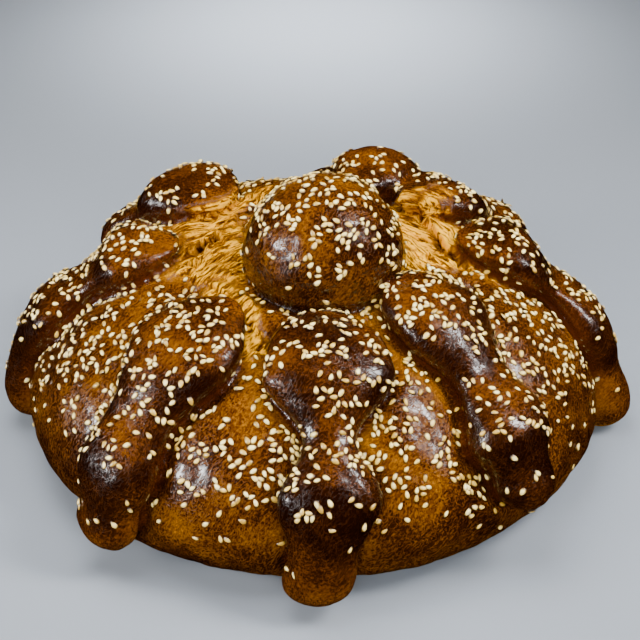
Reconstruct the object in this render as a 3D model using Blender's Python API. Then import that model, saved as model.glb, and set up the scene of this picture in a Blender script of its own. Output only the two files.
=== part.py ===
"""Pan de muerto: a large round festive loaf, with eight knobbed dough bones laid from its crown down its sides,
a dough ball on the crown, torn dough round the ball, and sesame seeds baked onto the crust.
It is one piece of bread. The origin is on the table under the middle of its box, +Z is up and -Y is the front."""

import math
import random
from collections import namedtuple

import bmesh
import bpy
import numpy as np
from mathutils import Matrix, Vector

MM = 0.001

# The round loaf: its pillows of dough reach this outline, which is widest a little above the tray
LOAF_RADIUS = 119.5 * MM
LOAF_DEPTH_SHARE = 0.975
LOAF_HEIGHT = 89 * MM
WIDEST_HEIGHT = 26 * MM
FOOT_INSET = 27 * MM
SIDE_FULLNESS = 2.3
TOP_FULLNESS = 1.9
BACK_RISES = 0.06

# The hollow that the ball sits in
HOLLOW_DEPTH = 13 * MM
HOLLOW_RADIUS = 40 * MM

# The valley in the loaf under each bone, which parts one pillow from the next
VALLEY_DEPTH = 7 * MM
VALLEY_WIDTH = 17 * MM
VALLEY_ROOT_FADE = 20 * MM
VALLEY_TIP_FADE = 15 * MM
FOOT_FADE = 25 * MM

# Splits where the dough tore in the oven: bearing in degrees, distance down from the crown, half length across,
# half width down the side and depth, in millimetres
SPLITS = (
    (28, 50, 15, 6, 7),
    (168, 52, 24, 5, 5),
    (-104, 62, 9, 6, 9),
    (-22, 66, 12, 6, 5),
    (60, 52, 18, 7, 5),
    (-150, 58, 12, 5, 4),
)

BALL_RADIUS = 32 * MM
BALL_HEIGHT_SHARE = 0.98
BALL_AT = (4 * MM, -11 * MM, 89 * MM)

# A bone is one strip of dough with two knobs and a small bulb at its tip. Bearings are in degrees at its first
# knob, its second knob and its tip. Places are millimetres down the side from the crown. Widths are half widths of
# the knobs, waist and tip, and rises are how far the knobs and the tip stand over the loaf. The root rounding is
# the length over which the bone's first end grows out of the loaf.
Bone = namedtuple("Bone", "name first_bearing second_bearing tip_bearing root_at knob_at waist_at end_at tip_at "
                  "knob waist end tip knob_rise end_rise tip_rise root_rounding")
BONES = (
    Bone("front", -86, -87, -90, 49, 79, 104, 125, 168, 24, 10, 19, 14, 14, 14, 14, 15),
    Bone("front_right", -44, -50, -50, 42, 69, 93, 117, 145, 20, 12, 17, 13, 13, 17, 17, 15),
    Bone("right", 9, 0, -2, 58, 84, 101, 121, 168, 22, 14, 18, 13, 12, 10, 20, 26),
    Bone("back_right", 44, 44, 44, 54, 80, 99, 120, 162, 20, 14, 20, 14, 11, 12, 12, 26),
    Bone("back", 69, 84, 88, 50, 80, 101, 122, 166, 20, 13, 20, 14, 15, 13, 12, 26),
    Bone("back_left", 134, 136, 136, 52, 82, 101, 121, 162, 23, 14, 19, 13, 15, 11, 11, 26),
    Bone("left", 176, 180, 180, 54, 76, 95, 115, 167, 21, 14, 19, 12, 12, 10, 14, 26),
    Bone("front_left", -128, -128, -129, 50, 80, 109, 130, 161, 23, 14, 17, 14, 13, 13, 14, 26),
)
BONE_SINK = 0.35
UNDERSIDE_DEPTH = 8 * MM
END_ROUNDING = 15 * MM
ROOT_WIDTH_SHARE = 0.75
WAIST_RISE_SHARE = 0.6
NECK_PLACE_SHARE = 0.45
NECK_WIDTH_SHARE = 0.9
NECK_RISE_SHARE = 0.85
BULB_SETBACK_SHARE = 0.6

SEED_COUNT = 180
SEED_LENGTHS = (2.9 * MM, 3.7 * MM)
SEED_WIDTH_SHARE = 0.62
SEED_THICK_SHARE = 0.36
SEED_TAPER = 0.25
SEED_PROUD_SHARE = 0.07
SEED_GAP = 5.5 * MM
SEED_TRIES = 60
SEEDLESS_HEIGHT = 14 * MM
SEEDLESS_OVERHANG = 0.05
TORN_FROM, TORN_TO = 36 * MM, 62 * MM
TORN_LEVEL = 0.9
BALL_MARGIN = 1.5 * MM
SEED_DRAW = 11

LOAF_SIDES, LOAF_RINGS = 180, 90
LOAF_SIDE_SHARE = 0.85
BONE_SIDES, BONE_RINGS = 32, 56
SEED_SIDES, SEED_RINGS = 6, 3
SKIN_VOXEL = 2.0 * MM
CREASE_EASING = 5
SKIN_TRIANGLES = 4500
PROFILE_STEPS = 400

CRUST_COLOUR = (0.22, 0.075, 0.018, 1)
CRUST_ROUGHNESS = 0.35


def loaf_profile():
    """Radius, height and distance walked from the crown, down the loaf's side and under its foot."""
    turn = np.linspace(0, math.pi / 2, PROFILE_STEPS)
    upper_radius = LOAF_RADIUS * np.sin(turn) ** (2 / SIDE_FULLNESS)
    upper_height = WIDEST_HEIGHT + (LOAF_HEIGHT - WIDEST_HEIGHT) * np.cos(turn) ** (2 / TOP_FULLNESS)
    lower_radius = LOAF_RADIUS - FOOT_INSET * (1 - np.cos(turn))
    lower_height = WIDEST_HEIGHT * (1 - np.sin(turn))
    radius = np.concatenate([upper_radius, lower_radius[1:]])
    height = np.concatenate([upper_height, lower_height[1:]])
    walked = np.concatenate([[0], np.cumsum(np.hypot(np.diff(radius), np.diff(height)))])
    return radius, height, walked


PROFILE_RADIUS, PROFILE_HEIGHT, PROFILE_WALKED = loaf_profile()
SIDE_LENGTH = PROFILE_WALKED[-1]


def on_profile(walked):
    """Radius and height at a distance walked from the crown, and the radial and upward parts of the normal."""
    step = 1 * MM
    ahead = np.clip(walked + step, 0, SIDE_LENGTH)
    behind = np.clip(walked - step, 0, SIDE_LENGTH)
    outward = np.interp(ahead, PROFILE_WALKED, PROFILE_RADIUS) - np.interp(behind, PROFILE_WALKED, PROFILE_RADIUS)
    upward = np.interp(ahead, PROFILE_WALKED, PROFILE_HEIGHT) - np.interp(behind, PROFILE_WALKED, PROFILE_HEIGHT)
    length = np.hypot(outward, upward)
    radius = np.interp(walked, PROFILE_WALKED, PROFILE_RADIUS)
    height = np.interp(walked, PROFILE_WALKED, PROFILE_HEIGHT)
    return radius, height, -upward / length, outward / length


def placed(walked, bearing, lift):
    """Points at a distance down the side and a bearing in radians, lifted off the loaf's outline."""
    radius, height, out, up = on_profile(walked)
    radius = radius + out * lift
    y = radius * np.sin(bearing) * LOAF_DEPTH_SHARE
    z = (height + up * lift) * (1 + BACK_RISES * y / LOAF_RADIUS)
    return np.stack([radius * np.cos(bearing), y, np.maximum(z, 0)], axis=-1)


def turned_from(bearing, other):
    """The angle from one bearing to another, within half a turn either way."""
    return (bearing - other + math.pi) % (2 * math.pi) - math.pi


def bone_bearing(bone, walked):
    """The bone's bearing in radians at a distance down the side."""
    places = (bone.knob_at, bone.end_at, bone.tip_at)
    bearings = (bone.first_bearing, bone.second_bearing, bone.tip_bearing)
    return np.radians(np.interp(walked / MM, places, bearings))


def eased_between(places, stations, values):
    """Values that ease from one station to the next, level at each station."""
    index = np.clip(np.searchsorted(stations, places, side="right") - 1, 0, len(stations) - 2)
    start, end = np.array(stations)[index], np.array(stations)[index + 1]
    part = np.clip((places - start) / (end - start), 0, 1)
    part = part * part * (3 - 2 * part)
    return np.array(values)[index] * (1 - part) + np.array(values)[index + 1] * part


def new_object(name, vertices, faces):
    mesh = bpy.data.meshes.new(name)
    mesh.from_pydata([tuple(v) for v in vertices], [], faces)
    mesh.update()
    made = bpy.data.objects.new(name, mesh)
    bpy.context.scene.collection.objects.link(made)
    return made


def ball_grid(sides, rings):
    """A ball's grid from pole to pole: each vertex's share of the way, its angle round, and the faces."""
    shares, angles = [0.0], [0.0]
    for ring in range(1, rings):
        for side in range(sides):
            shares.append(ring / rings)
            angles.append(2 * math.pi * side / sides)
    shares.append(1.0)
    angles.append(0.0)
    last = len(shares) - 1
    final = 1 + (rings - 2) * sides
    faces = []
    for side in range(sides):
        after = (side + 1) % sides
        faces.append((0, 1 + side, 1 + after))
        for ring in range(rings - 2):
            near = 1 + ring * sides
            far = near + sides
            faces.append((near + side, far + side, far + after, near + after))
        faces.append((final + side, last, final + after))
    return np.array(shares), np.array(angles), faces


def loaf_lift(walked, bearings):
    """How far the loaf's surface lies off its outline: down in the hollow, the valleys and the splits."""
    radius = on_profile(walked)[0]
    lift = -HOLLOW_DEPTH * np.exp(-((radius / HOLLOW_RADIUS) ** 2))
    to_foot = np.clip((SIDE_LENGTH - walked) / FOOT_FADE, 0, 1)
    for bone in BONES:
        sideways = turned_from(bearings, bone_bearing(bone, walked)) * radius
        from_root = np.clip((walked - bone.root_at * MM) / VALLEY_ROOT_FADE, 0, 1)
        to_tip = np.clip((bone.tip_at * MM - walked) / VALLEY_TIP_FADE, 0, 1)
        lift -= VALLEY_DEPTH * from_root * to_tip * to_foot * np.exp(-((sideways / VALLEY_WIDTH) ** 2))
    for bearing, down, half_length, half_width, depth in SPLITS:
        sideways = turned_from(bearings, math.radians(bearing)) * radius / (half_length * MM)
        along = (walked / MM - down) / half_width
        lift -= depth * MM * np.exp(-(sideways ** 2) - along ** 2)
    return lift


def make_loaf():
    """The round loaf, closed underneath by its flat foot."""
    shares, bearings, faces = ball_grid(LOAF_SIDES, LOAF_RINGS)
    walked = np.minimum(shares / LOAF_SIDE_SHARE, 1) * SIDE_LENGTH
    points = placed(walked, bearings, loaf_lift(walked, bearings))
    under = np.clip((shares - LOAF_SIDE_SHARE) / (1 - LOAF_SIDE_SHARE), 0, 1)
    points[:, :2] *= (1 - under)[:, None]
    return new_object("loaf_dough", points, faces)


def make_bone(bone):
    """One bone: a strip with a round section, wide at its two knobs, laid down the side from under the ball."""
    shares, angles, faces = ball_grid(BONE_SIDES, BONE_RINGS)
    root_at, tip_at = bone.root_at * MM, bone.tip_at * MM
    walked = root_at + shares * (tip_at - root_at)
    neck_at = bone.end_at + NECK_PLACE_SHARE * (bone.tip_at - bone.end_at)
    bulb_at = bone.tip_at - BULB_SETBACK_SHARE * bone.tip
    stations = [bone.root_at, bone.knob_at, bone.waist_at, bone.end_at, neck_at, bulb_at]
    root, neck = ROOT_WIDTH_SHARE * bone.knob, NECK_WIDTH_SHARE * bone.tip
    half_width = eased_between(walked / MM, stations, [root, bone.knob, bone.waist, bone.end, neck, bone.tip])
    low_rise = WAIST_RISE_SHARE * min(bone.knob_rise, bone.end_rise)
    neck_rise = NECK_RISE_SHARE * bone.end_rise
    rises = [low_rise, bone.knob_rise, low_rise, bone.end_rise, neck_rise, bone.tip_rise]
    rise = eased_between(walked / MM, stations, rises)
    to_end = np.minimum((walked - root_at) / (bone.root_rounding * MM), (tip_at - walked) / END_ROUNDING)
    roundness = np.sqrt(1 - (1 - np.clip(to_end, 0, 1)) ** 2)
    half_height = rise / (1 + BONE_SINK) * roundness * MM
    middle_lift = rise * BONE_SINK / (1 + BONE_SINK) * MM
    pressed_in = UNDERSIDE_DEPTH * roundness * np.clip(-np.sin(angles), 0, 1)
    bearing = bone_bearing(bone, walked)
    points = placed(walked, bearing, middle_lift + half_height * np.sin(angles) - pressed_in)
    across = np.stack([-np.sin(bearing), np.cos(bearing), np.zeros(len(bearing))], axis=-1)
    points += across * (half_width * MM * roundness * np.cos(angles))[:, None]
    return new_object(f"bone_{bone.name}", points, faces)


def make_ball():
    bpy.ops.mesh.primitive_uv_sphere_add(segments=64, ring_count=32, radius=BALL_RADIUS)
    ball = bpy.context.object
    ball.name = "ball_dough"
    ball.data.transform(Matrix.Translation(BALL_AT) @ Matrix.Diagonal((1, 1, BALL_HEIGHT_SHARE, 1)))
    return ball


def joined(pieces, name):
    """The pieces in one object."""
    bpy.ops.object.select_all(action="DESELECT")
    for piece in pieces:
        piece.select_set(True)
    bpy.context.view_layer.objects.active = pieces[0]
    bpy.ops.object.join()
    whole = bpy.context.object
    whole.name = name
    whole.data.name = name
    return whole


def baked_together(whole):
    """One skin over loaf, bones and ball, with its creases eased as rising dough eases them, in fewer faces."""
    remesh = whole.modifiers.new("one_skin", "REMESH")
    remesh.mode = "VOXEL"
    remesh.voxel_size = SKIN_VOXEL
    ease = whole.modifiers.new("ease_creases", "SMOOTH")
    ease.iterations = CREASE_EASING
    for name in ("one_skin", "ease_creases"):
        bpy.ops.object.modifier_apply(modifier=name)
    fewer = whole.modifiers.new("fewer_faces", "DECIMATE")
    fewer.ratio = SKIN_TRIANGLES / (2 * len(whole.data.polygons))
    bpy.ops.object.modifier_apply(modifier="fewer_faces")


def centre_on_table(whole):
    """The origin goes on the table, under the middle of the box."""
    points = np.array([v.co for v in whole.data.vertices])
    low = points.min(axis=0)
    middle = (low + points.max(axis=0)) / 2
    whole.data.transform(Matrix.Translation((-middle[0], -middle[1], -low[2])))


def seed_places(whole, draw):
    """Places for the seeds, spread evenly: on the crust, not in the torn dough, not near the foot."""
    mesh = bmesh.new()
    mesh.from_mesh(whole.data)
    faces = [face for face in mesh.faces if face.normal.z > SEEDLESS_OVERHANG]
    areas = [face.calc_area() for face in faces]
    places = []
    for face in draw.choices(faces, weights=areas, k=SEED_COUNT * SEED_TRIES):
        first, second = sorted((draw.random(), draw.random()))
        corners = [vertex.co for vertex in face.verts]
        point = corners[0] * first + corners[1] * (second - first) + corners[2] * (1 - second)
        on_ball = (point - Vector(BALL_AT)).length < BALL_RADIUS + BALL_MARGIN
        in_tear = TORN_FROM < math.hypot(point.x, point.y) < TORN_TO and face.normal.z > TORN_LEVEL
        crowded = any((point - other).length < SEED_GAP for other, _ in places)
        if point.z > SEEDLESS_HEIGHT and not crowded and (on_ball or not in_tear):
            places.append((point, face.normal.copy()))
        if len(places) == SEED_COUNT:
            break
    mesh.free()
    return places


def make_seed(number, point, normal, length, turn):
    """One sesame seed: a flat drop that is pointed at one end, lying on the crust."""
    shares, angles, faces = ball_grid(SEED_SIDES, SEED_RINGS)
    along = np.cos(math.pi * shares)
    girth = np.sin(math.pi * shares) * (1 - SEED_TAPER * along)
    width, thick = length * SEED_WIDTH_SHARE / 2, length * SEED_THICK_SHARE / 2
    x = along * length / 2
    y = girth * np.cos(angles) * width
    z = girth * np.sin(angles) * thick
    seed = new_object(f"seed_{number:03d}", np.stack([x, y, z], axis=-1), faces)
    stand = normal.to_track_quat("Z", "Y").to_matrix().to_4x4()
    lay = Matrix.Translation(point + normal * SEED_PROUD_SHARE * length) @ stand @ Matrix.Rotation(turn, 4, "Z")
    seed.data.transform(lay)
    return seed


def fuse_seeds(whole):
    """The seeds are baked onto the crust, so they become one body with it, the largest first."""
    draw = random.Random(SEED_DRAW)
    holder = bpy.data.collections.new("sesame_seeds")
    bpy.context.scene.collection.children.link(holder)
    lengths = sorted((draw.uniform(*SEED_LENGTHS) for _ in range(SEED_COUNT)), reverse=True)
    for number, ((point, normal), length) in enumerate(zip(seed_places(whole, draw), lengths)):
        seed = make_seed(number, point, normal, length, draw.uniform(0, 2 * math.pi))
        bpy.context.scene.collection.objects.unlink(seed)
        holder.objects.link(seed)
    fuse = whole.modifiers.new("fuse_seeds", "BOOLEAN")
    fuse.operation = "UNION"
    fuse.operand_type = "COLLECTION"
    fuse.collection = holder
    fuse.solver = "EXACT"
    bpy.context.view_layer.objects.active = whole
    bpy.ops.object.modifier_apply(modifier="fuse_seeds")
    for seed in list(holder.objects):
        bpy.data.objects.remove(seed)
    bpy.data.collections.remove(holder)


def crust_material():
    crust = bpy.data.materials.new("baked_crust")
    crust.use_nodes = True
    shader = crust.node_tree.nodes["Principled BSDF"]
    shader.inputs["Base Color"].default_value = CRUST_COLOUR
    shader.inputs["Roughness"].default_value = CRUST_ROUGHNESS
    return crust


for old in list(bpy.data.objects):
    bpy.data.objects.remove(old)

bread = joined([make_loaf(), make_ball()] + [make_bone(bone) for bone in BONES], "pan_de_muerto")
baked_together(bread)
fuse_seeds(bread)
centre_on_table(bread)
bread.data.materials.clear()
bread.data.materials.append(crust_material())
bread.data.shade_smooth()
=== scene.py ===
"""A pan de muerto on a pale table: the crust of loaf, bones and ball, its torn dough and its sesame seeds.
Lengths are in metres. The origin is on the table under the loaf's middle, +Z is up and -Y is the front."""

import math
from collections import namedtuple

import bpy
import numpy as np
from mathutils import Matrix, Vector, noise
from mathutils.bvhtree import BVHTree


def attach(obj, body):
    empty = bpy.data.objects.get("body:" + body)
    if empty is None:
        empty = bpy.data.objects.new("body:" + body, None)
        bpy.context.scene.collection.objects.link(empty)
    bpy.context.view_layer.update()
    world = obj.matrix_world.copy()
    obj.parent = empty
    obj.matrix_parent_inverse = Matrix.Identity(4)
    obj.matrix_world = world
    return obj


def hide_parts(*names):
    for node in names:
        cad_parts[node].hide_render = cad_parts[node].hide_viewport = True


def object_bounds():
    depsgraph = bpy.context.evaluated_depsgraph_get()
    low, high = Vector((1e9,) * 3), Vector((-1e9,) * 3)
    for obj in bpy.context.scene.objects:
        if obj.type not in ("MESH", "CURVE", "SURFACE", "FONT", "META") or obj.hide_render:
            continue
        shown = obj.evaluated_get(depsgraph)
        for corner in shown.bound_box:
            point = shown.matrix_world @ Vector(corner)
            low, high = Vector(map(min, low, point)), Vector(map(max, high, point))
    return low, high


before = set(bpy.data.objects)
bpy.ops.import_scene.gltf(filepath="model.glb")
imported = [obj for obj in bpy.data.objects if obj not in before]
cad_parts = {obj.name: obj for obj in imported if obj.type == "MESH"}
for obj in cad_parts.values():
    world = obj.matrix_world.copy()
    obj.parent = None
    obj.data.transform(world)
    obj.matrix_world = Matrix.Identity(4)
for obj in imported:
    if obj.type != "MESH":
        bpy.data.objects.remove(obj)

cad_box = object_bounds()

# The loaf: one round of rich egg dough, proved on a tray until it spread to a dome with a tucked-in foot.
# The bones laid on it pressed valleys into its sides, and between them it rose as eight pillows.
MM = 0.001
LOAF_RADIUS = 119.5 * MM
LOAF_DEPTH_SHARE = 0.975
LOAF_HEIGHT = 89 * MM
WIDEST_HEIGHT = 26 * MM
FOOT_INSET = 27 * MM
SIDE_FULLNESS = 2.3
TOP_FULLNESS = 1.9
BACK_RISES = 0.06
HOLLOW_DEPTH = 13 * MM
HOLLOW_RADIUS = 40 * MM
VALLEY_DEPTH = 7 * MM
VALLEY_WIDTH = 17 * MM
VALLEY_ROOT_FADE = 20 * MM
VALLEY_TIP_FADE = 15 * MM
FOOT_FADE = 25 * MM
LOAF_SIDES, LOAF_RINGS = 240, 120
LOAF_SIDE_SHARE = 0.85
PROFILE_STEPS = 400

# Bearing in degrees, distance down from the crown, half length across, half width down the side and depth
# in mm
SPLITS = (
    (28, 50, 15, 6, 7),
    (168, 52, 24, 5, 5),
    (-104, 62, 9, 6, 9),
    (-22, 66, 12, 6, 5),
    (60, 52, 18, 7, 5),
    (-150, 58, 12, 5, 4),
)

# A bone is one strip of dough with two knobs and a bulb at its tip. Bearings are in degrees, and the rest
# is in mm: places down the side from the crown, half widths of the knobs, waist and tip, how far they stand
# up, and the length over which the first end grows out of the loaf.
Bone = namedtuple("Bone", "name first_bearing second_bearing tip_bearing root_at knob_at waist_at end_at "
                  "tip_at knob waist end tip knob_rise end_rise tip_rise root_rounding")
BONES = (
    Bone("front", -86, -87, -90, 49, 79, 104, 125, 168, 24, 10, 19, 14, 14, 14, 14, 15),
    Bone("front_right", -44, -50, -50, 42, 69, 93, 117, 145, 20, 12, 17, 13, 13, 17, 17, 15),
    Bone("right", 9, 0, -2, 58, 84, 101, 121, 168, 22, 14, 18, 13, 12, 10, 20, 26),
    Bone("back_right", 44, 44, 44, 54, 80, 99, 120, 162, 20, 14, 20, 14, 11, 12, 12, 26),
    Bone("back", 69, 84, 88, 50, 80, 101, 122, 166, 20, 13, 20, 14, 15, 13, 12, 26),
    Bone("back_left", 134, 136, 136, 52, 82, 101, 121, 162, 23, 14, 19, 13, 15, 11, 11, 26),
    Bone("left", 176, 180, 180, 54, 76, 95, 115, 167, 21, 14, 19, 12, 12, 10, 14, 26),
    Bone("front_left", -128, -128, -129, 50, 80, 109, 130, 161, 23, 14, 17, 14, 13, 13, 14, 26),
)


def loaf_profile():
    """Radius, height and distance walked from the crown, down the loaf's side and under its foot."""
    turn = np.linspace(0, math.pi / 2, PROFILE_STEPS)
    upper_radius = LOAF_RADIUS * np.sin(turn) ** (2 / SIDE_FULLNESS)
    upper_height = WIDEST_HEIGHT + (LOAF_HEIGHT - WIDEST_HEIGHT) * np.cos(turn) ** (2 / TOP_FULLNESS)
    lower_radius = LOAF_RADIUS - FOOT_INSET * (1 - np.cos(turn))
    lower_height = WIDEST_HEIGHT * (1 - np.sin(turn))
    radius = np.concatenate([upper_radius, lower_radius[1:]])
    height = np.concatenate([upper_height, lower_height[1:]])
    walked = np.concatenate([[0], np.cumsum(np.hypot(np.diff(radius), np.diff(height)))])
    return radius, height, walked


PROFILE_RADIUS, PROFILE_HEIGHT, PROFILE_WALKED = loaf_profile()
SIDE_LENGTH = PROFILE_WALKED[-1]


def profile_at(walked):
    """Radius and height at a distance walked from the crown."""
    radius = np.interp(walked, PROFILE_WALKED, PROFILE_RADIUS)
    return radius, np.interp(walked, PROFILE_WALKED, PROFILE_HEIGHT)


def on_profile(walked):
    """Radius and height at a distance walked from the crown, and the normal's parts outward and upward."""
    step = 1 * MM
    radius_ahead, height_ahead = profile_at(np.clip(walked + step, 0, SIDE_LENGTH))
    radius_behind, height_behind = profile_at(np.clip(walked - step, 0, SIDE_LENGTH))
    outward, upward = radius_ahead - radius_behind, height_ahead - height_behind
    length = np.hypot(outward, upward)
    radius, height = profile_at(walked)
    return radius, height, -upward / length, outward / length


def placed(walked, bearing, lift):
    """Points at a distance down the side and a bearing in radians, lifted off the loaf's outline."""
    radius, height, out, up = on_profile(walked)
    radius = radius + out * lift
    y = radius * np.sin(bearing) * LOAF_DEPTH_SHARE
    z = (height + up * lift) * (1 + BACK_RISES * y / LOAF_RADIUS)
    return np.stack([radius * np.cos(bearing), y, np.maximum(z, 0)], axis=-1)


def turned_from(bearing, other):
    """The angle from one bearing to another, within half a turn either way."""
    return (bearing - other + math.pi) % (2 * math.pi) - math.pi


def bone_bearing(bone, walked):
    """The bone's bearing in radians at a distance down the side."""
    places = (bone.knob_at, bone.end_at, bone.tip_at)
    bearings = (bone.first_bearing, bone.second_bearing, bone.tip_bearing)
    return np.radians(np.interp(walked / MM, places, bearings))


def points_of(piece):
    """The vertices of a mesh as rows of x, y and z."""
    points = np.empty(len(piece.data.vertices) * 3)
    piece.data.vertices.foreach_get("co", points)
    return points.reshape(-1, 3)


def put_points(piece, points):
    piece.data.vertices.foreach_set("co", np.ascontiguousarray(points).ravel())
    piece.data.update()


def dough_ball(name, sides, rings):
    """A plain ball of dough, with each vertex's share of the way from pole to pole and its angle round."""
    bpy.ops.object.select_all(action="DESELECT")
    bpy.ops.mesh.primitive_uv_sphere_add(segments=sides, ring_count=rings, radius=1)
    ball = bpy.context.object
    ball.name = name
    points = points_of(ball)
    shares = np.arccos(np.clip(points[:, 2], -1, 1)) / math.pi
    return ball, shares, np.arctan2(points[:, 1], points[:, 0])


def loaf_lift(walked, bearings):
    """How far the loaf's surface lies off its outline: down in the hollow, the valleys and the splits."""
    radius = on_profile(walked)[0]
    lift = -HOLLOW_DEPTH * np.exp(-((radius / HOLLOW_RADIUS) ** 2))
    to_foot = np.clip((SIDE_LENGTH - walked) / FOOT_FADE, 0, 1)
    for bone in BONES:
        sideways = turned_from(bearings, bone_bearing(bone, walked)) * radius
        from_root = np.clip((walked - bone.root_at * MM) / VALLEY_ROOT_FADE, 0, 1)
        to_tip = np.clip((bone.tip_at * MM - walked) / VALLEY_TIP_FADE, 0, 1)
        lift -= VALLEY_DEPTH * from_root * to_tip * to_foot * np.exp(-((sideways / VALLEY_WIDTH) ** 2))
    for bearing, down, half_length, half_width, depth in SPLITS:
        sideways = turned_from(bearings, math.radians(bearing)) * radius / (half_length * MM)
        along = (walked / MM - down) / half_width
        lift -= depth * MM * np.exp(-(sideways ** 2) - along ** 2)
    return lift


loaf, shares, bearings = dough_ball("loaf_dough", LOAF_SIDES, LOAF_RINGS)
walked = np.minimum(shares / LOAF_SIDE_SHARE, 1) * SIDE_LENGTH
loaf_points = placed(walked, bearings, loaf_lift(walked, bearings))
under = np.clip((shares - LOAF_SIDE_SHARE) / (1 - LOAF_SIDE_SHARE), 0, 1)
loaf_points[:, :2] *= (1 - under)[:, None]
put_points(loaf, loaf_points)

# The bones: eight strips of the same dough, rolled thin between the fingers so that knobs are left, and
# laid from the crown down the sides. Egg wash sticks them on, and their tips hang to the tray.
BONE_SINK = 0.35
UNDERSIDE_DEPTH = 8 * MM
END_ROUNDING = 15 * MM
ROOT_WIDTH_SHARE = 0.75
WAIST_RISE_SHARE = 0.6
NECK_PLACE_SHARE = 0.45
NECK_WIDTH_SHARE = 0.9
NECK_RISE_SHARE = 0.85
BULB_SETBACK_SHARE = 0.6
BONE_SIDES, BONE_RINGS = 40, 72


def eased_between(places, stations, values):
    """Values that ease from one station to the next, level at each station."""
    index = np.clip(np.searchsorted(stations, places, side="right") - 1, 0, len(stations) - 2)
    start, end = np.array(stations)[index], np.array(stations)[index + 1]
    part = np.clip((places - start) / (end - start), 0, 1)
    part = part * part * (3 - 2 * part)
    return np.array(values)[index] * (1 - part) + np.array(values)[index + 1] * part


def rolled_bone(bone):
    """One bone: a strip with a round section and two wide knobs, laid down the side from under the ball."""
    strip, shares, angles = dough_ball(f"bone_{bone.name}", BONE_SIDES, BONE_RINGS)
    root_at, tip_at = bone.root_at * MM, bone.tip_at * MM
    walked = root_at + shares * (tip_at - root_at)
    neck_at = bone.end_at + NECK_PLACE_SHARE * (bone.tip_at - bone.end_at)
    bulb_at = bone.tip_at - BULB_SETBACK_SHARE * bone.tip
    stations = [bone.root_at, bone.knob_at, bone.waist_at, bone.end_at, neck_at, bulb_at]
    root, neck = ROOT_WIDTH_SHARE * bone.knob, NECK_WIDTH_SHARE * bone.tip
    half_widths = [root, bone.knob, bone.waist, bone.end, neck, bone.tip]
    half_width = eased_between(walked / MM, stations, half_widths)
    low_rise = WAIST_RISE_SHARE * min(bone.knob_rise, bone.end_rise)
    neck_rise = NECK_RISE_SHARE * bone.end_rise
    rises = [low_rise, bone.knob_rise, low_rise, bone.end_rise, neck_rise, bone.tip_rise]
    rise = eased_between(walked / MM, stations, rises)
    to_end = np.minimum((walked - root_at) / (bone.root_rounding * MM), (tip_at - walked) / END_ROUNDING)
    roundness = np.sqrt(1 - (1 - np.clip(to_end, 0, 1)) ** 2)
    half_height = rise / (1 + BONE_SINK) * roundness * MM
    middle_lift = rise * BONE_SINK / (1 + BONE_SINK) * MM
    pressed_in = UNDERSIDE_DEPTH * roundness * np.clip(-np.sin(angles), 0, 1)
    bearing = bone_bearing(bone, walked)
    points = placed(walked, bearing, middle_lift + half_height * np.sin(angles) - pressed_in)
    across = np.stack([-np.sin(bearing), np.cos(bearing), np.zeros(len(bearing))], axis=-1)
    put_points(strip, points + across * (half_width * MM * roundness * np.cos(angles))[:, None])
    return strip


bones = [rolled_bone(bone) for bone in BONES]

# The ball: a round of the same dough, rolled between the palms and pressed into the hollow at the crown,
# where the bones meet. Egg wash holds it there.
BALL_RADIUS = 32 * MM
BALL_HEIGHT_SHARE = 0.98
BALL_AT = (4 * MM, -11 * MM, 89 * MM)
BALL_SIDES, BALL_RINGS = 96, 64
ball, _, _ = dough_ball("ball_dough", BALL_SIDES, BALL_RINGS)
ball_size = (BALL_RADIUS, BALL_RADIUS, BALL_RADIUS * BALL_HEIGHT_SHARE, 1)
ball.data.transform(Matrix.Translation(BALL_AT) @ Matrix.Diagonal(ball_size))

# The crust: in the oven loaf, bones and ball bake into one skin. It draws into a crease along each bone,
# tears where the dough under it rises fastest, and wrinkles finely as it cools.
SKIN_VOXEL = 1.3 * MM
CREASE_EASING = 3
CREASE_DEPTH, CREASE_WIDTH = 3.2 * MM, 2.2 * MM
# Painted shade darkens the crease along each join over this width
PAINTED_SHADE_CREASE_WIDTH = 2.2 * MM
SWELL_HEIGHT, SWELL_SIZE = 1.0 * MM, 24 * MM
DENT_HEIGHT, DENT_SIZE = 0.5 * MM, 8 * MM
PUCKER_HEIGHT, PUCKER_SIZE = 0.22 * MM, 3.4 * MM
CRUST_TRIANGLES = 196000

# Distances to the loaf, the bones and the ball are found up to the reach. One part blends into the next over
# the blend, a join is felt over its width, and the relief fades out towards the tray.
OWN_REACH = 26 * MM
PART_BLEND = 3 * MM
JOIN_WIDTH = 5 * MM
SMOOTH_FOOT = 6 * MM

# Torn patches seen from above, in mm and degrees: middle, half sizes, turn, and the bearing of the torn
# fibres
TEARS = (
    (-42, 0, 20, 26, 12, 58),
    (-42, 28, 19, 20, 0, 12),
    (-30, -42, 10, 30, 22, 60),
    (-12, 50, 24, 13, 0, 40),
    (49, 20, 19, 36, 23, 128),
    (38, -8, 9, 13, 0, 110),
    (36, 46, 19, 14, 0, 150),
    (70, 2, 14, 9, -45, 128),
    (-41, 47, 20, 7, -22, 10),
)
TEAR_EDGE = 0.35
RAG_SIZE, FRAY_SIZE, FRAY_SHARE = 9 * MM, 3.5 * MM, 0.5
TORN_ABOVE, TORN_FADE = 55 * MM, 10 * MM
FINER_FACES_FROM = 0.2

# The two back bones split along their near sides. The left one kept its crust from this far off the loaf.
SPLIT_BONES = ("back_right", "back_left")
KEPT_CRUST_FROM, KEPT_CRUST_FADE = 5 * MM, 4 * MM

# The palest dough lines a bowl in the right-hand tear. Fibres are measured from the middle of the tear on
# each side.
BOWL_AT, BOWL_WIDTH = (43 * MM, 14 * MM), 18 * MM
FIBRES_FROM = (46 * MM, 14 * MM)

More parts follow.
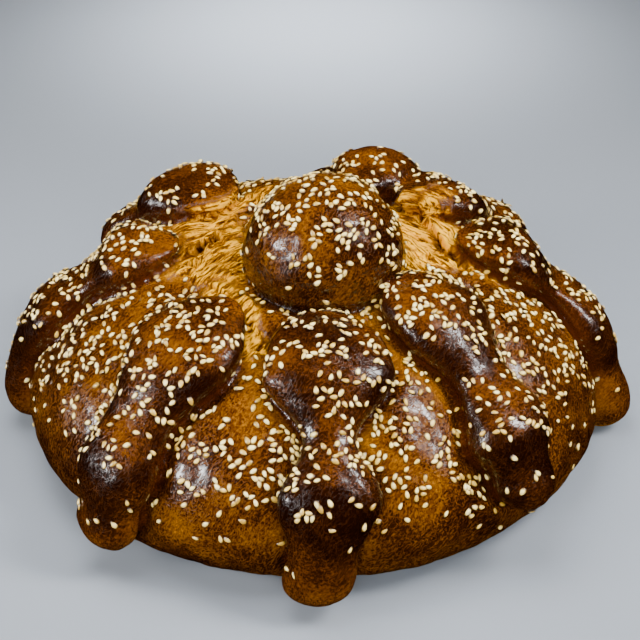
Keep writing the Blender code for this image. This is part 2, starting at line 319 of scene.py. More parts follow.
# Relief of the torn dough: bundles of fibres with furrows between them, strands in the bundles, and cracks
BUNDLE_HEIGHT, BUNDLE_LENGTH, BUNDLE_WIDTH = 1.2 * MM, 26 * MM, 5.5 * MM
BUNDLE_FURROWS = 3
STRAND_HEIGHT, STRAND_LENGTH, STRAND_WIDTH = 0.55 * MM, 11 * MM, 1.7 * MM
CRACK_DEPTH, CRACK_LENGTH, CRACK_WIDTH = 1.6 * MM, 9 * MM, 2.6 * MM
CRACK_FROM, CRACK_FADE = 0.32, 0.15

# Folds in the torn dough, in mm: the line seen from above, the lip's height and width, and the depth and
# width of the pocket, which lies to the right of the line, or to the left where its depth has a minus sign.
# A pocket this deep or deeper gets full painted shade inside.
Fold = namedtuple("Fold", "line lip lip_width pocket pocket_width")
FULL_SHADE_POCKET_DEPTH = 4
POCKET_EDGE = 1.2
LIP_LOST_IN_POCKET = 0.6
FOLD_END = 0.02
FOLDS = (
    Fold(((-37, 13), (-41, 17), (-47, 16), (-52, 9)), 1.6, 1.8, -4.5, 5),
    Fold(((37, 38), (44, 35), (50, 26), (52, 17), (58, 4), (66, -6), (73, -11)), 2.2, 2.4, 5.5, 7),
    Fold(((42, -2), (50, 4), (60, -2), (72, -10)), 1.5, 2.4, -2.0, 3),
    Fold(((-60, -11), (-55, 2), (-49, 12)), 1.6, 2.2, 2.2, 2.6),
    Fold(((-34, 18), (-33, 27), (-30, 37)), 0.8, 1.8, 2.2, 1.6),
    Fold(((-54, 3), (-51, 0), (-47, -3)), 0.3, 1.5, 2.6, 1.8),
    Fold(((-66, -9), (-62, -6), (-58, -5)), 0.3, 1.5, 2.4, 1.8),
    Fold(((-64, 4), (-60, 6), (-57, 5)), 0.6, 1.8, 3.0, 2.6),
    Fold(((-46, -21), (-38, -24), (-32, -33)), 0.9, 2.2, 1.6, 2.4),
    Fold(((-24, -40), (-27, -52), (-25, -64)), 0.5, 2.0, 3.0, 3.0),
    Fold(((73, -11), (77, -13), (80, -15)), 0.4, 1.6, 3.0, 2.2),
    Fold(((30, 58), (44, 50), (58, 36)), 1.2, 2.4, 1.5, 3),
)


def noise_at(points, size, shift=0.0):
    """Smooth noise about zero at each point, with bumps of this size. The shift picks another pattern."""
    offset = Vector((shift, shift * 1.7, shift * 2.3))
    return np.array([noise.noise(Vector(p) + offset) for p in points / size])


def normals_of(piece):
    normals = np.empty(len(piece.data.vertices) * 3)
    piece.data.vertex_normals.foreach_get("vector", normals)
    return normals.reshape(-1, 3)


def eased(values):
    values = np.clip(values, 0, 1)
    return values * values * (3 - 2 * values)


def distances(shape, points, reach):
    """Each point's distance from a piece of dough, up to the reach."""
    found = np.full(len(points), reach)
    for index, point in enumerate(points):
        away = shape.find_nearest(point, reach)[3]
        if away is not None:
            found[index] = away
    return found


def bread_parts(points):
    """How much each point is on a bone, on an unsplit bone and on the ball, and two distances: how far it
    stands off the loaf, and how far away the next piece of dough is."""
    from_loaf = distances(own_shapes["loaf_dough"], points, OWN_REACH)
    from_ball = distances(own_shapes["ball_dough"], points, OWN_REACH)
    from_bones = [distances(own_shapes[f"bone_{bone.name}"], points, OWN_REACH) for bone in BONES]
    from_bone = np.min(from_bones, axis=0)
    unsplit = [away for away, bone in zip(from_bones, BONES) if bone.name not in SPLIT_BONES]
    from_whole = np.min(unsplit, axis=0)
    on_bone = eased(0.5 + (np.minimum(from_loaf, from_ball) - from_bone) / PART_BLEND)
    on_ball = eased(0.5 + (np.minimum(from_loaf, from_bone) - from_ball) / PART_BLEND)
    on_whole = eased(0.5 + (np.minimum(from_loaf, from_ball) - from_whole) / PART_BLEND)
    ranked = np.sort(np.stack([from_loaf, from_ball, from_bone]), axis=0)
    return on_bone, on_whole, on_ball, from_loaf, ranked[1]


def torn_dough(points):
    """How torn the dough is at each point, and coordinates that run along and across its fibres."""
    torn = np.zeros(len(points))
    weight_sum = np.full(len(points), 1e-9)
    bearing_sum = np.zeros(len(points))
    ragged = noise_at(points, RAG_SIZE, 5) + FRAY_SHARE * noise_at(points, FRAY_SIZE, 6)
    for x, y, half_x, half_y, turn, fibres in TEARS:
        aside, ahead = points[:, 0] - x * MM, points[:, 1] - y * MM
        cosine, sine = math.cos(math.radians(turn)), math.sin(math.radians(turn))
        u = (aside * cosine + ahead * sine) / (half_x * MM)
        v = (ahead * cosine - aside * sine) / (half_y * MM)
        torn = np.maximum(torn, eased((1 - np.hypot(u, v) + ragged * TEAR_EDGE) / TEAR_EDGE))
        weight = np.exp(-(u * u + v * v))
        weight_sum += weight
        bearing_sum += weight * math.radians(fibres)
    bearing = bearing_sum / weight_sum
    aside = points[:, 0] - np.sign(points[:, 0]) * FIBRES_FROM[0]
    ahead = points[:, 1] - FIBRES_FROM[1]
    along = aside * np.cos(bearing) + ahead * np.sin(bearing)
    across = ahead * np.cos(bearing) - aside * np.sin(bearing)
    return torn, np.stack([along, across, points[:, 2]], axis=-1)


def along_fibres(pull, length, width, shift):
    """Noise in long narrow bumps that lie along the fibres."""
    stretched = pull / np.array([length, width, width])
    return np.array([noise.noise(Vector(p) + Vector((shift, 0, 0))) for p in stretched])


def fold_relief(points):
    """The folds' lips and pockets as height over the dough, and how much painted shade each point gets
    inside a pocket.
    """
    relief = np.zeros(len(points))
    pocket_shade = np.zeros(len(points))
    plan = points[:, :2] / MM
    for fold in FOLDS:
        line = np.array(fold.line, dtype=float)
        lengths = np.hypot(*np.diff(line, axis=0).T)
        starts = np.concatenate([[0], np.cumsum(lengths)])
        nearest = np.full(len(points), 1e9)
        side = np.zeros(len(points))
        run = np.zeros(len(points))
        for start, end, length, begun in zip(line[:-1], line[1:], lengths, starts):
            step = (end - start) / length
            offset = plan - start
            along = np.clip(offset @ step, 0, length)
            away = np.hypot(*(offset - along[:, None] * step).T)
            closer = away < nearest
            nearest[closer] = away[closer]
            side[closer] = (step[1] * offset[:, 0] - step[0] * offset[:, 1])[closer]
            run[closer] = (begun + along[closer]) / starts[-1]
        fade = np.sqrt(np.clip(np.sin(math.pi * np.clip(run, FOLD_END, 1 - FOLD_END)), 0, 1))
        pocket_side = np.clip(0.5 + side * np.sign(fold.pocket) / POCKET_EDGE, 0, 1)
        lip = fade * fold.lip * np.exp(-((nearest / fold.lip_width) ** 2))
        relief += lip * (1 - LIP_LOST_IN_POCKET * pocket_side)
        inside = fade * np.exp(-((nearest / fold.pocket_width) ** 2)) * pocket_side
        relief -= abs(fold.pocket) * inside
        # Painted shade inside the pocket, full in the deepest pockets
        pocket_shade = np.maximum(pocket_shade, inside ** 3 * min(abs(fold.pocket) / FULL_SHADE_POCKET_DEPTH, 1))
    return relief * MM, pocket_shade


def write_attribute(piece, name, values):
    kind = "FLOAT_VECTOR" if values.ndim == 2 else "FLOAT"
    field = "vector" if values.ndim == 2 else "value"
    attribute = piece.data.attributes.new(name, kind, "POINT")
    attribute.data.foreach_set(field, np.ascontiguousarray(values, dtype=np.float32).ravel())


def read_attribute(piece, name):
    values = np.empty(len(piece.data.vertices), dtype=np.float32)
    piece.data.attributes[name].data.foreach_get("value", values)
    return values.astype(float)


bpy.ops.object.select_all(action="DESELECT")
own_shapes = {}
for piece in [loaf, ball] + bones:
    own_shapes[piece.name] = BVHTree.FromPolygons([v.co.copy() for v in piece.data.vertices],
                                                  [tuple(f.vertices) for f in piece.data.polygons])
    piece.select_set(True)
bpy.context.view_layer.objects.active = loaf
bpy.ops.object.join()
crust = bpy.context.object
crust.name = "baked_crust"
crust.data.name = "baked_crust"
remesh = crust.modifiers.new("one_skin", "REMESH")
remesh.mode = "VOXEL"
remesh.voxel_size = SKIN_VOXEL
ease = crust.modifiers.new("ease_creases", "SMOOTH")
ease.iterations = CREASE_EASING
for name in ("one_skin", "ease_creases"):
    bpy.ops.object.modifier_apply(modifier=name)

# The torn dough needs finer faces than the smooth crust
torn, _ = torn_dough(points_of(crust))
torn *= points_of(crust)[:, 2] > TORN_ABOVE
torn_faces = np.array([torn[face.vertices[0]] > FINER_FACES_FROM for face in crust.data.polygons])
crust.data.polygons.foreach_set("select", torn_faces)
bpy.ops.object.mode_set(mode="EDIT")
bpy.ops.mesh.select_mode(type="FACE")
bpy.ops.mesh.subdivide(number_cuts=1)
bpy.ops.object.mode_set(mode="OBJECT")

points = points_of(crust)
on_bone, on_whole_bone, on_ball, over_loaf, other_dough = bread_parts(points)
torn, pull = torn_dough(points)
torn *= (1 - on_whole_bone) * (1 - on_ball) * eased((points[:, 2] - TORN_ABOVE) / TORN_FADE)
torn *= 1 - on_bone * (points[:, 0] < 0) * eased((over_loaf - KEPT_CRUST_FROM) / KEPT_CRUST_FADE)
near_join = np.exp(-((other_dough / JOIN_WIDTH) ** 2))

# The relief: swells, dents and puckers, a crease at each join, and bundles, strands, cracks and folds where
# it is torn
relief = SWELL_HEIGHT * noise_at(points, SWELL_SIZE, 1) + DENT_HEIGHT * noise_at(points, DENT_SIZE, 2)
relief += PUCKER_HEIGHT * noise_at(points, PUCKER_SIZE, 3)
relief -= CREASE_DEPTH * np.exp(-((other_dough / CREASE_WIDTH) ** 2))
bundles = 1 - BUNDLE_FURROWS * np.abs(along_fibres(pull, BUNDLE_LENGTH, BUNDLE_WIDTH, 7))
cracks = np.clip((along_fibres(pull, CRACK_LENGTH, CRACK_WIDTH, 15) - CRACK_FROM) / CRACK_FADE, 0, 1)
torn_relief = BUNDLE_HEIGHT * bundles + STRAND_HEIGHT * along_fibres(pull, STRAND_LENGTH, STRAND_WIDTH, 11)
folded, pocket_shade = fold_relief(points)
torn_relief += folded - CRACK_DEPTH * cracks
relief += torn * torn_relief
relief *= np.clip(points[:, 2] / SMOOTH_FOOT, 0, 1)
put_points(crust, points + normals_of(crust) * relief[:, None])

# How deeply each place is browned, from 0 for pale torn dough to 1 for the darkest glaze, with painted light
# and shade mixed in. Bones stood proudest and browned most, the rims beside a tear and the foot on the tray
# least.
# What faces up is painted paler, as if lit from above, and the creases between the pieces and the pockets in
# the folds are painted darker as shade. All but the sizes are shares of browning.
CRUST_BROWNING = 0.78
DRIFT_SHARE, DRIFT_SIZE = 0.20, 26 * MM
MOTTLE_SHARE, MOTTLE_SIZE = 0.14, 10 * MM
BONE_DARKER, BALL_DARKER = 0.02, 0.02
PROUD_DARKER, PROUD_HEIGHT = 0.16, 11 * MM
# Painted light: what faces up is painted paler, more so on the bones
TOP_PAINTED_LIGHT, BONE_TOP_PAINTED_LIGHT = 0.08, 0.12
TOP_FROM, TOP_FADE = 0.45, 0.45
JOIN_PALER, TEAR_RIM_PALER = 0.14, 0.16
TIP_PALER, TIP_BELOW, TIP_FADE = 0.30, 45 * MM, 30 * MM
FOOT_PALER, FOOT_BELOW, FOOT_PALER_FADE = 0.30, 9 * MM, 6 * MM
# Painted shade in the creases where the pieces meet
CREASE_PAINTED_SHADE = 0.42
TORN_BROWNING, BOWL_PALER = 0.23, 0.36
# The second is painted shade inside the folds' pockets
CRACK_DARKER, POCKET_PAINTED_SHADE = 0.3, 0.6
TORN_DRIFT_SHARE, TORN_DRIFT_SIZE = 0.14, 7 * MM

# A place is beside a tear where the place this share of the way out to it from the origin is torn
RIM_SHARE = 0.93

level = normals_of(crust)[:, 2]
height = points[:, 2]
beside_tear, _ = torn_dough(points * RIM_SHARE)
browning = (CRUST_BROWNING + DRIFT_SHARE * noise_at(points, DRIFT_SIZE, 41)
            + MOTTLE_SHARE * noise_at(points, MOTTLE_SIZE, 42))
browning += on_bone * (BONE_DARKER + PROUD_DARKER * eased(over_loaf / PROUD_HEIGHT)) + BALL_DARKER * on_ball
# Painted light: what faces up is painted paler, as if lit from above
browning -= (TOP_PAINTED_LIGHT + BONE_TOP_PAINTED_LIGHT * on_bone) * eased((level - TOP_FROM) / TOP_FADE)
browning -= JOIN_PALER * near_join * (1 - on_bone)
browning -= TEAR_RIM_PALER * beside_tear * (1 - on_bone) * (1 - on_ball)
browning -= TIP_PALER * on_bone * eased((TIP_BELOW - height) / TIP_FADE)
browning -= FOOT_PALER * eased((FOOT_BELOW - height) / FOOT_PALER_FADE)
# Painted shade: darker in the creases where the pieces meet
browning += CREASE_PAINTED_SHADE * np.exp(-((other_dough / PAINTED_SHADE_CREASE_WIDTH) ** 2))
from_bowl = np.linalg.norm(points[:, :2] - np.array(BOWL_AT), axis=1)
pale = TORN_BROWNING - BOWL_PALER * np.exp(-((from_bowl / BOWL_WIDTH) ** 2))
# Painted shade inside the folds' pockets
pale += CRACK_DARKER * cracks + POCKET_PAINTED_SHADE * pocket_shade
pale += TORN_DRIFT_SHARE * noise_at(points, TORN_DRIFT_SIZE, 43)
browning = browning * (1 - torn) + pale * torn

# The crust is set to stand where the solid stands
low, high = points_of(crust).min(axis=0), points_of(crust).max(axis=0)
cad_low, cad_high = np.array(cad_box[0]), np.array(cad_box[1])
to_cad = (cad_low + cad_high) / 2 - (low + high) / 2
to_cad[2] = cad_low[2] - low[2]
put_points(crust, points_of(crust) + to_cad)
write_attribute(crust, "browning", browning)
write_attribute(crust, "bone_edge", near_join * on_bone)
write_attribute(crust, "torn", torn)
write_attribute(crust, "bone", on_bone)
write_attribute(crust, "fibre_place", pull)
fewer = crust.modifiers.new("fewer_faces", "DECIMATE")
fewer.ratio = min(1.0, CRUST_TRIANGLES / sum(len(face.vertices) - 2 for face in crust.data.polygons))
bpy.ops.object.modifier_apply(modifier="fewer_faces")


# Egg-washed crust: browned dough under a thin glaze of dried egg. The sugar in it bakes to mahogany where
# the crust is thick, splits in fine golden cracks, and shines in broken glints. Torn dough is dry and
# honey-coloured.
def linear(hex_colour):
    """A colour given as sRGB hex, in the linear values that the shader takes."""
    parts = [int(hex_colour[place:place + 2], 16) / 255 for place in (1, 3, 5)]
    return tuple(c / 12.92 if c <= 0.04045 else ((c + 0.055) / 1.055) ** 2.4 for c in parts) + (1.0,)


def add_node(tree, kind, settings=None, inputs=None):
    """One node with its settings, and its inputs set to values or joined to other nodes' outputs."""
    node = tree.nodes.new(kind)
    for name, value in (settings or {}).items():
        setattr(node, name, value)
    for name, value in (inputs or {}).items():
        if isinstance(value, bpy.types.NodeSocket):
            tree.links.new(value, node.inputs[name])
        else:
            node.inputs[name].default_value = value
    return node


def colour_stops(ramp, stops):
    """Sets a colour ramp's stops from pairs of place and hex colour."""
    while len(ramp.elements) < len(stops):
        ramp.elements.new(1.0)
    for element, (place, colour) in zip(ramp.elements, stops):
        element.position = place
        element.color = linear(colour)


BROWNING_COLOURS = (
    (0.0, "#f2b018"),
    (0.08, "#cc8c00"),
    (0.20, "#925800"),
    (0.35, "#6e4400"),
    (0.52, "#5a3200"),
    (0.66, "#442000"),
    (0.80, "#2a1000"),
    (1.0, "#120300"),
)
BONE_COLOURS = (
    (0.0, "#a46a00"),
    (0.35, "#703e00"),
    (0.52, "#562900"),
    (0.66, "#3e1a00"),
    (0.80, "#260e00"),
    (1.0, "#100400"),
)
BONE_COLOUR_SHARE = 0.2
BONE_EDGE_COLOUR, BONE_EDGE_SHARE = "#6a2c00", 0.3

# Sizes of the patterns. The mottling and the fibres are too fine on the real loaf to show, so both are
# drawn as coarse as they need to be.
CRACK_SPACING = 1.316 * MM
FINE_SIZE = 1.111 * MM
BLOTCH_SIZE = 16.67 * MM
FIBRE_LENGTH, FIBRE_WIDTH = 9.09 * MM, 1.25 * MM

# The cracks run in swirls and are drawn out along one line, as the dough was when it was shaped
SWIRL_SIZE, SWIRL_REACH = 25 * MM, 12 * MM
GRAIN = (0.6, 0.35, 0.7)
GRAIN_STRETCH = 2.8
CRACK_NARROW, CRACK_WIDE = 0.005, 0.06

# What each pattern adds to the browning: a factor on the pattern, and what is added after it. The strands
# add one tone in their furrows and another on their crests.
CRACK_TONE = (0.22, -0.19)
FINE_TONE = (0.7, -0.35)
BLOTCH_TONE = (0.60, -0.30)
STRAND_RANGE = (0.38, 0.56)
FURROW_TONE, CREST_TONE = 0.42, -0.19
BONE_HIDES_CRACKS = 0.5
TORN_HIDES_MOTTLING = 0.55

# Dried egg shines, bare dough and cracks don't
GLAZED_FROM, GLAZED_TO = 0.2, 0.9
DRY_ROUGHNESS, GLAZED_ROUGHNESS = 0.6, 0.10
DRY_SPECULAR, GLAZED_SPECULAR = 0.0, 0.55
GLAZE_IOR = 1.45
PLATE_RELIEF, FINE_RELIEF = 0.02 * MM, 0.025 * MM
STRAND_RELIEF, STRAND_STRENGTH = 3 * MM, 0.9


def crust_material():
    glazed = bpy.data.materials.new("egg_washed_crust")
    glazed.use_nodes = True
    tree = glazed.node_tree
    shader = tree.nodes["Principled BSDF"]
    place = add_node(tree, "ShaderNodeTexCoord").outputs["Object"]
    fields = {}
    for name in ("browning", "bone", "bone_edge", "torn"):
        fields[name] = add_node(tree, "ShaderNodeAttribute", {"attribute_name": name}).outputs["Fac"]
    fibre_place = add_node(tree, "ShaderNodeAttribute", {"attribute_name": "fibre_place"}).outputs["Vector"]

    blotches = add_node(tree, "ShaderNodeTexNoise", None, {"Vector": place, "Scale": 1 / BLOTCH_SIZE,
                        "Detail": 4.0, "Roughness": 0.6}).outputs["Fac"]
    swirl = add_node(tree, "ShaderNodeTexNoise", None, {"Vector": place, "Scale": 1 / SWIRL_SIZE,
                     "Detail": 1.0}).outputs["Color"]
    swirled = add_node(tree, "ShaderNodeVectorMath", {"operation": "MULTIPLY_ADD"},
                       {0: swirl, 1: (SWIRL_REACH,) * 3, 2: place}).outputs[0]
    drawn_out = add_node(tree, "ShaderNodeMapping", {"vector_type": "TEXTURE"},
                         {"Vector": swirled, "Rotation": Vector(GRAIN).to_track_quat("X", "Z").to_euler(),
                          "Scale": (GRAIN_STRETCH, 1.0, 1.0)}).outputs["Vector"]
    crack_field = add_node(tree, "ShaderNodeTexNoise", None,
                           {"Vector": drawn_out, "Scale": 1 / CRACK_SPACING, "Detail": 2.0,
                            "Roughness": 0.6, "Distortion": 0.3}).outputs["Fac"]
    off_crack = add_node(tree, "ShaderNodeMath", {"operation": "SUBTRACT"}, {0: crack_field, 1: 0.5})
    off_crack = add_node(tree, "ShaderNodeMath", {"operation": "ABSOLUTE"}, {0: off_crack.outputs[0]})
    plates = add_node(tree, "ShaderNodeMapRange", {"interpolation_type": "SMOOTHSTEP"},
                      {"Value": off_crack.outputs[0], "From Min": CRACK_NARROW,
                       "From Max": CRACK_WIDE}).outputs[0]
    fine = add_node(tree, "ShaderNodeTexNoise", None, {"Vector": place, "Scale": 1 / FINE_SIZE,
                    "Detail": 2.0, "Roughness": 0.6, "Distortion": 0.5}).outputs["Fac"]
    fibres_per_metre = (1 / FIBRE_LENGTH, 1 / FIBRE_WIDTH, 1 / FIBRE_WIDTH)
    fibre_scale = add_node(tree, "ShaderNodeMapping", {"vector_type": "POINT"},
                           {"Vector": fibre_place, "Scale": fibres_per_metre}).outputs["Vector"]
    strands = add_node(tree, "ShaderNodeTexNoise", None, {"Vector": fibre_scale, "Scale": 1.0,
                       "Detail": 5.0, "Roughness": 0.7, "Distortion": 0.5}).outputs["Fac"]

    # Browning with its painted light and shade, lowered along the cracks, and varied by blotches, fine
    # mottling and, in the tears, by strands
    whole = add_node(tree, "ShaderNodeMath", {"operation": "SUBTRACT"},
                     {0: 1.0, 1: fields["torn"]}).outputs[0]
    crack_tone = add_node(tree, "ShaderNodeMath", {"operation": "MULTIPLY_ADD"},
                          {0: plates, 1: CRACK_TONE[0], 2: CRACK_TONE[1]}).outputs[0]
    fine_tone = add_node(tree, "ShaderNodeMath", {"operation": "MULTIPLY_ADD"},
                         {0: fine, 1: FINE_TONE[0], 2: FINE_TONE[1]}).outputs[0]
    crack_share = add_node(tree, "ShaderNodeMath", {"operation": "MULTIPLY_ADD"},
                           {0: fields["bone"], 1: -BONE_HIDES_CRACKS, 2: 1.0}).outputs[0]
    mottled = add_node(tree, "ShaderNodeMath", {"operation": "MULTIPLY_ADD"},
                       {0: crack_tone, 1: crack_share, 2: fine_tone}).outputs[0]
    mottled_share = add_node(tree, "ShaderNodeMath", {"operation": "MULTIPLY_ADD"},
                             {0: fields["torn"], 1: -TORN_HIDES_MOTTLING, 2: 1.0}).outputs[0]
    mottled = add_node(tree, "ShaderNodeMath", {"operation": "MULTIPLY"},
                       {0: mottled, 1: mottled_share}).outputs[0]
    blotch_tone = add_node(tree, "ShaderNodeMath", {"operation": "MULTIPLY_ADD"},
                           {0: blotches, 1: BLOTCH_TONE[0], 2: BLOTCH_TONE[1]}).outputs[0]
    strand_tone = add_node(tree, "ShaderNodeMapRange", {"interpolation_type": "SMOOTHSTEP"},
                           {"Value": strands, "From Min": STRAND_RANGE[0], "From Max": STRAND_RANGE[1],
                            "To Min": FURROW_TONE, "To Max": CREST_TONE}).outputs[0]
    strand_tone = add_node(tree, "ShaderNodeMath", {"operation": "MULTIPLY"},
                           {0: strand_tone, 1: fields["torn"]}).outputs[0]
    tone = fields["browning"]
    for part in (mottled, blotch_tone, strand_tone):
        tone = add_node(tree, "ShaderNodeMath", {"operation": "ADD"}, {0: tone, 1: part}).outputs[0]
    browned = add_node(tree, "ShaderNodeValToRGB", None, {"Fac": tone})
    colour_stops(browned.color_ramp, BROWNING_COLOURS)
    redder = add_node(tree, "ShaderNodeMath", {"operation": "MULTIPLY"},
                      {0: fields["bone"], 1: BONE_COLOUR_SHARE}).outputs[0]
    bone_browned = add_node(tree, "ShaderNodeValToRGB", None, {"Fac": tone})
    colour_stops(bone_browned.color_ramp, BONE_COLOURS)
    browned = add_node(tree, "ShaderNodeMix", {"data_type": "RGBA"},
                       {0: redder, 6: browned.outputs[0], 7: bone_browned.outputs[0]}).outputs[2]
    edge_share = add_node(tree, "ShaderNodeMath", {"operation": "MULTIPLY"},
                          {0: fields["bone_edge"], 1: BONE_EDGE_SHARE}).outputs[0]
    colour = add_node(tree, "ShaderNodeMix", {"data_type": "RGBA"},
                      {0: edge_share, 6: browned, 7: linear(BONE_EDGE_COLOUR)}).outputs[2]
    tree.links.new(colour, shader.inputs["Base Color"])

    glazed_share = add_node(tree, "ShaderNodeMath", {"operation": "MULTIPLY"},
                            {0: whole, 1: plates}).outputs[0]
    dull = add_node(tree, "ShaderNodeMapRange", None,
                    {"Value": glazed_share, "From Min": GLAZED_FROM, "From Max": GLAZED_TO,
                     "To Min": DRY_ROUGHNESS, "To Max": GLAZED_ROUGHNESS}).outputs[0]
    shine = add_node(tree, "ShaderNodeMapRange", None,
                     {"Value": glazed_share, "From Min": GLAZED_FROM, "From Max": GLAZED_TO,
                      "To Min": DRY_SPECULAR, "To Max": GLAZED_SPECULAR}).outputs[0]
    tree.links.new(shine, shader.inputs["Specular IOR Level"])
    tree.links.new(dull, shader.inputs["Roughness"])
    shader.inputs["IOR"].default_value = GLAZE_IOR

    plate_bump = add_node(tree, "ShaderNodeBump", None,
                          {"Height": plates, "Strength": 1.0, "Distance": PLATE_RELIEF}).outputs[0]
    fine_bump = add_node(tree, "ShaderNodeBump", None,
                         {"Height": fine, "Normal": plate_bump, "Strength": 1.0,
                          "Distance": FINE_RELIEF}).outputs[0]
    strand_height = add_node(tree, "ShaderNodeMath", {"operation": "MULTIPLY"},
                             {0: strands, 1: fields["torn"]}).outputs[0]
    strand_bump = add_node(tree, "ShaderNodeBump", None,
                           {"Height": strand_height, "Normal": fine_bump, "Strength": STRAND_STRENGTH,
                            "Distance": STRAND_RELIEF}).outputs[0]
    tree.links.new(strand_bump, shader.inputs["Normal"])
    return glazed


crust.data.materials.clear()
crust.data.materials.append(crust_material())
crust.data.shade_smooth()
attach(crust, "root")
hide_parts("pan_de_muerto")

# Sesame seeds: hulled white sesame, scattered over the egg wash before baking. They lie where they fell,
# thick on what faced up and thin on the steep sides. Each is a flat drop, with a thin line of painted shadow
# round it.
SEED_COUNT = 2900
SEED_LENGTHS = (2.45 * MM, 3.15 * MM)
SEED_WIDTHS, SEED_THICKNESSES = (0.9, 1.12), (0.9, 1.2)
SEED_WIDTH_SHARE = 0.62
SEED_THICK_SHARE = 0.34
SEED_TAPER = 0.36
SEED_SIDES, SEED_RINGS = 8, 5

# The seed's lower half is spread flat as a dark skirt: a thin line of painted shadow round each seed
SHADOW_SKIRT_BELOW = -0.1
SHADOW_SKIRT_SPREAD = 1.42
SHADOW_SKIRT_DROP = 0.04
SHADOW_SKIRT_MARGIN = 1.5

# Where seeds stay: most on what faces up, a share of them on the steep sides, in clumps and patches, more
# on the ball, and none near the tray
SLOPE_FROM, SLOPE_FADE, SLOPE_POWER = -0.05, 0.9, 1.5
STEEP_SHARE = 0.06
CLUMP_SIZE, CLUMP_STRENGTH, BETWEEN_CLUMPS = 6 * MM, 1.2, 0.12
PATCH_SIZE, PATCH_STRENGTH, BETWEEN_PATCHES = 30 * MM, 0.9, 0.25
PATCH_MIDDLE = 0.7
SEEDLESS_HEIGHT, SEEDLESS_FADE = 12 * MM, 22 * MM
BALL_SEED_EXTRA, BALL_SEED_REACH, BALL_SEED_FADE = 0.8, 5 * MM, 3 * MM
TORN_POWER = 4

# How seeds fall: places are drawn until enough lie clear of each other, and the closest ones heap and tilt
SEED_DRAW = 11
DRAWS_PER_SEED = 8
SEED_GAP = 1.7 * MM
SEED_CELL = 3 * MM
HEAP_REACH, HEAP_FADE = 2.6 * MM, 0.7 * MM
SEED_TILT, HEAP_TILT = 0.10, 0.14
SEED_LIFT, HEAP_LIFT = 0.10, 0.16


def model_seed():
    """The shape that every seed copies, a flat drop one metre long with a skirt of painted shadow under it,
    and how near the edge each vertex is.
    """
    seed, shares, angles = dough_ball("model_seed", SEED_SIDES, SEED_RINGS)
    along = np.cos(math.pi * shares)
    girth = np.sin(math.pi * shares) * (1 - SEED_TAPER * along)
    x = along / 2
    y = girth * np.cos(angles) * SEED_WIDTH_SHARE / 2
    z = girth * np.sin(angles) * SEED_THICK_SHARE / 2
    faces = [tuple(face.vertices) for face in seed.data.polygons]
    margin = np.clip(np.hypot(along, girth * np.cos(angles)), 0, 1) ** 2
    # The lower half becomes a flat dark skirt: a line of painted shadow round the seed
    under = np.sin(angles) * np.sin(math.pi * shares) < SHADOW_SKIRT_BELOW
    x, y = np.where(under, x * SHADOW_SKIRT_SPREAD, x), np.where(under, y * SHADOW_SKIRT_SPREAD, y)
    z = np.where(under, -SHADOW_SKIRT_DROP, z)
    margin = np.where(under, SHADOW_SKIRT_MARGIN, margin)
    bpy.data.objects.remove(seed)
    return np.stack([x, y, z], axis=-1), faces, margin


def seed_chance(points, normals, torn):
    """How thickly the seeds fell and stayed at each point."""
    facing = eased((normals[:, 2] - SLOPE_FROM) / SLOPE_FADE) ** SLOPE_POWER
    facing = facing * (1 - STEEP_SHARE) + STEEP_SHARE
    clumps = eased(0.5 + CLUMP_STRENGTH * noise_at(points, CLUMP_SIZE, 21)) ** 2
    patches = eased(PATCH_MIDDLE + PATCH_STRENGTH * noise_at(points, PATCH_SIZE, 31))
    above_foot = eased((points[:, 2] - SEEDLESS_HEIGHT) / SEEDLESS_FADE)
    from_ball = np.linalg.norm(points - np.array(BALL_AT), axis=1)
    near_ball = eased((BALL_RADIUS + BALL_SEED_REACH - from_ball) / BALL_SEED_FADE)
    chance = facing * (BETWEEN_CLUMPS + clumps) * (BETWEEN_PATCHES + patches) * above_foot
    return chance * (1 + BALL_SEED_EXTRA * near_ball) * (1 - torn) ** TORN_POWER


def fallen_seeds():
    """Places and normals on the crust where the seeds lie, and how far each is heaped on its neighbours."""
    rng = np.random.default_rng(SEED_DRAW)
    mesh = crust.data
    mesh.calc_loop_triangles()
    corners = np.empty(len(mesh.loop_triangles) * 3, dtype=np.int64)
    mesh.loop_triangles.foreach_get("vertices", corners)
    corners = corners.reshape(-1, 3)
    points, normals = points_of(crust), normals_of(crust)
    chance = seed_chance(points, normals, read_attribute(crust, "torn"))
    sides = points[corners[:, 1]] - points[corners[:, 0]], points[corners[:, 2]] - points[corners[:, 0]]
    areas = np.linalg.norm(np.cross(*sides), axis=1) / 2
    weights = areas * chance[corners].mean(axis=1)
    drawn = rng.choice(len(corners), size=SEED_COUNT * DRAWS_PER_SEED, p=weights / weights.sum())
    mix = rng.dirichlet((1, 1, 1), size=len(drawn))
    places = (points[corners[drawn]] * mix[:, :, None]).sum(axis=1)
    stands = (normals[corners[drawn]] * mix[:, :, None]).sum(axis=1)
    kept, heaped = [], []
    cells = {}
    for index, place in enumerate(places):
        cell = tuple(np.floor(place / SEED_CELL).astype(int))
        around = [(cell[0] + i, cell[1] + j, cell[2] + k)
                  for i in (-1, 0, 1) for j in (-1, 0, 1) for k in (-1, 0, 1)]
        near = [np.linalg.norm(place - places[other]) for key in around for other in cells.get(key, ())]
        closest = min(near, default=1.0)
        if closest > SEED_GAP:
            kept.append(index)
            heaped.append(np.clip((HEAP_REACH - closest) / HEAP_FADE, 0, 1))
            cells.setdefault(cell, []).append(index)
        if len(kept) == SEED_COUNT:
            break
    return places[kept], stands[kept], np.array(heaped), rng


